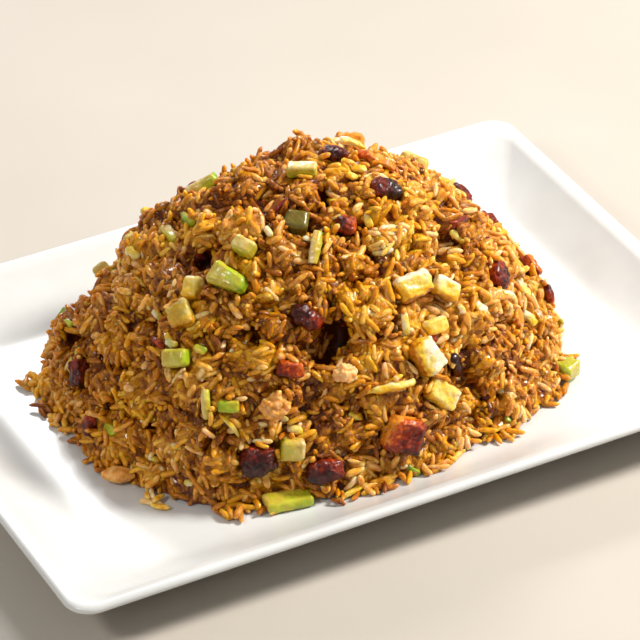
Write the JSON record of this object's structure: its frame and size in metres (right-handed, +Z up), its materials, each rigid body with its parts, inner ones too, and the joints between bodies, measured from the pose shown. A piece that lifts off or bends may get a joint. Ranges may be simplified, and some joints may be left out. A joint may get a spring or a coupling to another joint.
{
  "type": "fried rice on platter",
  "caption": "Tall heap of soy-brown fried rice with diced roast pork, green vegetable and onion on a white rectangular platter.",
  "frame": {"origin": "centre of the platter's box at the table", "axes": "+X along the platter's length, +Y towards its back side, +Z up"},
  "size_m": [0.305, 0.2164, 0.1093],
  "materials": {
    "platter": "smooth white glaze, soft gloss",
    "rice": "soy-brown cooked grains, lightly oiled",
    "pork": "dark red roasted glaze, glossy",
    "green": "cooked vegetable dice, pale flesh and green skin",
    "onion": "translucent cooked onion, cream to amber"
  },
  "bodies": {
    "root": {"platter": "platter", "rice": "rice", "pork_01": "pork", "pork_02": "pork", "pork_03": "pork", "pork_04": "pork", "pork_05": "pork", "pork_06": "pork", "pork_07": "pork", "pork_08": "pork", "pork_09": "pork", "pork_10": "pork", "pork_11": "pork", "pork_12": "pork", "pork_13": "pork", "pork_14": "pork", "pork_15": "pork", "pork_16": "pork", "pork_17": "pork", "pork_18": "pork", "pork_19": "pork", "pork_20": "pork", "pork_21": "pork", "pork_22": "pork", "green_01": "green", "green_02": "green", "green_03": "green", "green_04": "green", "green_05": "green", "green_06": "green", "green_07": "green", "green_08": "green", "green_09": "green", "green_10": "green", "green_11": "green", "green_12": "green", "green_13": "green", "green_14": "green", "green_15": "green", "green_16": "green", "green_17": "green", "green_18": "green", "green_19": "green", "green_20": "green", "onion_01": "onion", "onion_02": "onion", "onion_03": "onion", "onion_04": "onion", "onion_05": "onion", "onion_06": "onion", "onion_07": "onion", "onion_08": "onion", "onion_09": "onion", "onion_10": "onion", "onion_11": "onion", "onion_12": "onion", "onion_13": "onion", "onion_14": "onion", "onion_15": "onion", "onion_16": "onion"}
  },
  "joints": []
}
